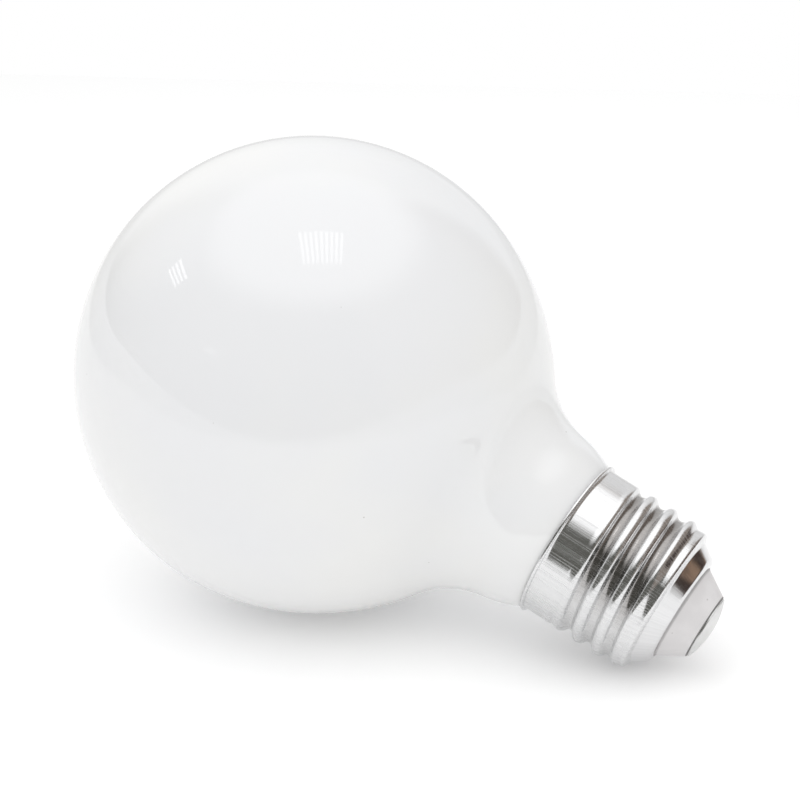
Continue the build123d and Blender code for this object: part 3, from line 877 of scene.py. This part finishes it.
def add_camera():
    """Camera at the photograph's angle, set off from the middle of the globe."""
    data = bpy.data.cameras.new("camera")
    data.lens = LENS
    data.sensor_width = SENSOR
    camera = bpy.data.objects.new("camera", data)
    bpy.context.scene.collection.objects.link(camera)
    back = from_view(CAMERA_AZIMUTH, CAMERA_ELEVATION)
    right = from_view(CAMERA_AZIMUTH + 90, 0)
    up = back.cross(right)
    turn = Matrix((right, up, back)).transposed()
    place = GLOBE_CENTRE + right * CAMERA_RIGHT + up * CAMERA_UP + back * CAMERA_DISTANCE
    camera.matrix_world = Matrix.Translation(place) @ turn.to_4x4()
    bpy.context.scene.camera = camera


def only_reflected(thing):
    """The thing shows in reflections alone: it neither lights the lamp nor hides it."""
    thing.visible_camera = False
    thing.visible_diffuse = False
    thing.visible_shadow = False


def glowing(name, build):
    """A material that shows the colour that build gives, whatever the light on it."""
    material = bpy.data.materials.new(name)
    graph = Graph(material)
    glow = graph.node("ShaderNodeEmission", None, {"Color": build(graph), "Strength": 1.0})
    graph.node("ShaderNodeOutputMaterial", None, {"Surface": glow})
    return material


def card_colour(graph):
    patches = graph.noise(graph.place(), CARD_PATCHES, 1)
    return graph.mix(patches.step(*CARD_PATCH_EDGE), CARD_BROWN, CARD_TAN)


def add_card():
    """Brown card beyond the cap, sloping down from it. The globe sees it nearly edge-on."""
    ends = ((CARD_NEAR, "from_y"), (CARD_FAR, "from_y"), (CARD_FAR, "to_y"), (CARD_NEAR, "to_y"))
    corners = [(edge["x"], edge[end], edge["height"]) for edge, end in ends]
    mesh = bpy.data.meshes.new("card")
    mesh.from_pydata(corners, [], [(0, 1, 2, 3)])
    mesh.materials.append(glowing("card_brown", card_colour))
    card = bpy.data.objects.new("card", mesh)
    bpy.context.scene.collection.objects.link(card)
    only_reflected(card)


def add_ceiling_lamp(name, place, size, turn, slats, level):
    """Square ceiling lamp seen through its slats: bright strips with gaps between them."""
    pitch = size / slats
    across = (np.arange(slats) - (slats - 1) / 2) * pitch
    half = np.array([pitch * SLAT_SHARE / 2, size / 2])
    corners = np.array([(-1, -1), (1, -1), (1, 1), (-1, 1)]) * half
    flat = corners[None] + np.stack([across, np.zeros(slats)], 1)[:, None]
    cos, sin = math.cos(math.radians(turn)), math.sin(math.radians(turn))
    flat = flat.reshape(-1, 2) @ np.array([[cos, sin], [-sin, cos]])
    points = np.column_stack([flat + np.array(place), np.full(len(flat), CEILING)])
    mesh = bpy.data.meshes.new(name)
    mesh.from_pydata(points.tolist(), [], np.arange(slats * 4).reshape(slats, 4).tolist())
    mesh.materials.append(glowing(name, lambda graph: grey(level)))
    lamp = bpy.data.objects.new(name, mesh)
    bpy.context.scene.collection.objects.link(lamp)
    only_reflected(lamp)


def seen(graph):
    """1 for what the camera sees, straight or by way of gloss and glass, and 0 for light."""
    camera, gloss, glass = [graph.node("ShaderNodeLightPath", output=ray) for ray in SEEN_RAYS]
    return camera.at_least(gloss).at_least(glass)


def add_floor():
    """White sheet under the lamp. Its front edge is close, and shows in the glass as an arc."""
    front = from_view(SHEET_FRONT_AZIMUTH, 0)
    side = Vector((-front.y, front.x, 0))
    under = Vector((GLOBE_CENTRE.x, 0, 0))
    near, far = front * SHEET_FRONT, front * -SHEET_BACK
    corners = [under + near - side * SHEET_BACK, under + near + side * SHEET_BACK,
               under + far + side * SHEET_BACK, under + far - side * SHEET_BACK]
    mesh = bpy.data.meshes.new("floor")
    mesh.from_pydata([tuple(corner) for corner in corners], [], [(0, 1, 2, 3)])
    material = bpy.data.materials.new("floor_white")
    graph = Graph(material)
    matt = graph.node("ShaderNodeBsdfDiffuse", None, {"Color": grey(FLOOR_WHITE)})
    lift = graph.node("ShaderNodeEmission", None, {"Color": grey(1), "Strength": FLOOR_LIFT})
    both = graph.node("ShaderNodeAddShader", None, {0: matt, 1: lift})
    graph.node("ShaderNodeOutputMaterial", None, {"Surface": both})
    mesh.materials.append(material)
    floor = bpy.data.objects.new("floor", mesh)
    bpy.context.scene.collection.objects.link(floor)


def room(graph):
    """What the room looks like in a direction.

    White sheet below, walls with a dim and a brownish side, a window and a white ceiling.
    """
    direction = graph.node("ShaderNodeTexCoord")
    x, y, z = graph.split(direction)
    level = (1 - z ** 2).at_least(STRAIGHT_UP) ** 0.5

    def towards(azimuth):
        side = from_view(azimuth, 0)
        return (x * side.x + y * side.y) / level

    horizon = SHEET_RIM - towards(SHEET_FRONT_AZIMUTH).at_least(0) ** 2 * SHEET_DIP
    above = (z - horizon).step(-SHEET_RIM_BLUR, SHEET_RIM_BLUR)
    walls = graph.mix(towards(DIM_AZIMUTH).step(*DIM_EDGE), WALL_PALE, WALL_DIM)
    walls = graph.mix(towards(BROWN_AZIMUTH).step(*BROWN_EDGE), walls, WALL_BROWN)
    window = graph.vector("DOT_PRODUCT", direction, tuple(from_view(*WINDOW_FROM)), output=1)
    bright = z.step(*WALL_TOP).at_least(window.step(*WINDOW_EDGE) * WINDOW_SHARE)
    return graph.mix(above, SHEET_WHITE, graph.mix(bright, walls, CEILING_WHITE))


def add_world():
    """White to the camera, the room to reflections, and an even white light on everything."""
    world = bpy.data.worlds.new("world")
    bpy.context.scene.world = world
    graph = Graph(world)
    light = graph.mix(seen(graph), grey(FILL), room(graph))
    colour = graph.mix(graph.node("ShaderNodeLightPath"), light, grey(1))
    shown = graph.node("ShaderNodeBackground", None, {"Color": colour, "Strength": 1.0})
    graph.node("ShaderNodeOutputWorld", None, {"Surface": shown})


def add_key(name, azimuth, elevation, distance, size, power):
    """Large soft lamp, turned to the globe. The room's picture stands in for its reflection."""
    data = bpy.data.lights.new(name, "AREA")
    data.size = size
    data.energy = power
    lamp = bpy.data.objects.new(name, data)
    bpy.context.scene.collection.objects.link(lamp)
    back = from_view(azimuth, elevation)
    lamp.matrix_world = (Matrix.Translation(GLOBE_CENTRE + back * distance)
                         @ back.to_track_quat("Z", "Y").to_matrix().to_4x4())
    lamp.visible_glossy = False


add_camera()
add_floor()
add_world()
add_card()
add_key("key_lamp", *KEY_FROM, KEY_DISTANCE, KEY_SIZE, KEY_POWER)
for number, lamp in enumerate(CEILING_LAMPS):
    add_ceiling_lamp(f"ceiling_lamp_{number}", **lamp)
bpy.context.scene.view_settings.view_transform = "Standard"
